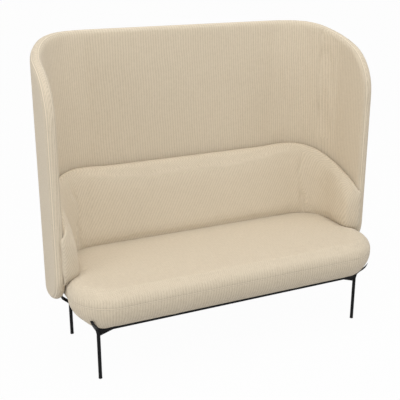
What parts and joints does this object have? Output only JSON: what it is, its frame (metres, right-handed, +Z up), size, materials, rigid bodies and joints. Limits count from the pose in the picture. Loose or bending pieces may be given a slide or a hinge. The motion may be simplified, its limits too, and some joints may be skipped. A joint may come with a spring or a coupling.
{
  "type": "high back settee",
  "caption": "High back settee with a wrap-round upholstered shell, a bench seat pad, a sloping-arm back pad and slim black steel legs.",
  "frame": {"origin": "on the floor, under the middle of the settee's width and depth", "axes": "+X to the right as seen from the front, +Y to the back, +Z up"},
  "size_m": [1.6, 0.718, 1.43],
  "materials": {
    "frame_steel": "satin black powder coat",
    "glide_plastic": "matte",
    "timber": "sawn",
    "plywood": "sanded",
    "webbing": "woven elastic",
    "foam": "open-cell foam",
    "upholstery": "ribbed weave, warm beige",
    "dust_cloth": "non-woven cloth",
    "fastener_steel": "zinc plated"
  },
  "bodies": {
    "root": {"front_rail": "frame_steel", "rear_rail": "frame_steel", "centre_rail": "frame_steel", "left_side_rail": "frame_steel", "right_side_rail": "frame_steel", "fixing_plates": "frame_steel", "left_front_leg": "frame_steel", "right_front_leg": "frame_steel", "left_rear_leg": "frame_steel", "right_rear_leg": "frame_steel", "left_front_gusset": "frame_steel", "right_front_gusset": "frame_steel", "left_rear_gusset": "frame_steel", "right_rear_gusset": "frame_steel", "left_front_horn": "frame_steel", "right_front_horn": "frame_steel", "left_rear_horn": "frame_steel", "right_rear_horn": "frame_steel", "left_shell_bracket": "frame_steel", "right_shell_bracket": "frame_steel", "back_shell_brackets": "frame_steel", "left_front_glide": "glide_plastic", "right_front_glide": "glide_plastic", "left_rear_glide": "glide_plastic", "right_rear_glide": "glide_plastic", "seat_front_timber": "timber", "seat_rear_timber": "timber", "left_seat_side_timber": "timber", "right_seat_side_timber": "timber", "left_seat_stretcher": "timber", "right_seat_stretcher": "timber", "shell_back_board": "plywood", "shell_left_board": "plywood", "shell_right_board": "plywood", "shell_battens": "plywood", "pad_back_board": "plywood", "pad_left_board": "plywood", "pad_right_board": "plywood", "seat_webbing": "webbing", "seat_foam": "foam", "shell_back_foam": "foam", "shell_left_foam": "foam", "shell_right_foam": "foam", "shell_outer_foam": "foam", "pad_back_foam": "foam", "pad_left_foam": "foam", "pad_right_foam": "foam", "seat_upper_cover": "upholstery", "seat_lower_cover": "upholstery", "shell_inner_cover": "upholstery", "shell_outer_cover": "upholstery", "pad_cover": "upholstery", "seat_dust_cover": "dust_cloth", "seat_bolts": "fastener_steel", "seat_tee_nuts": "fastener_steel", "shell_bolts": "fastener_steel", "shell_tee_nuts": "fastener_steel", "pad_screws": "fastener_steel"}
  },
  "joints": []
}
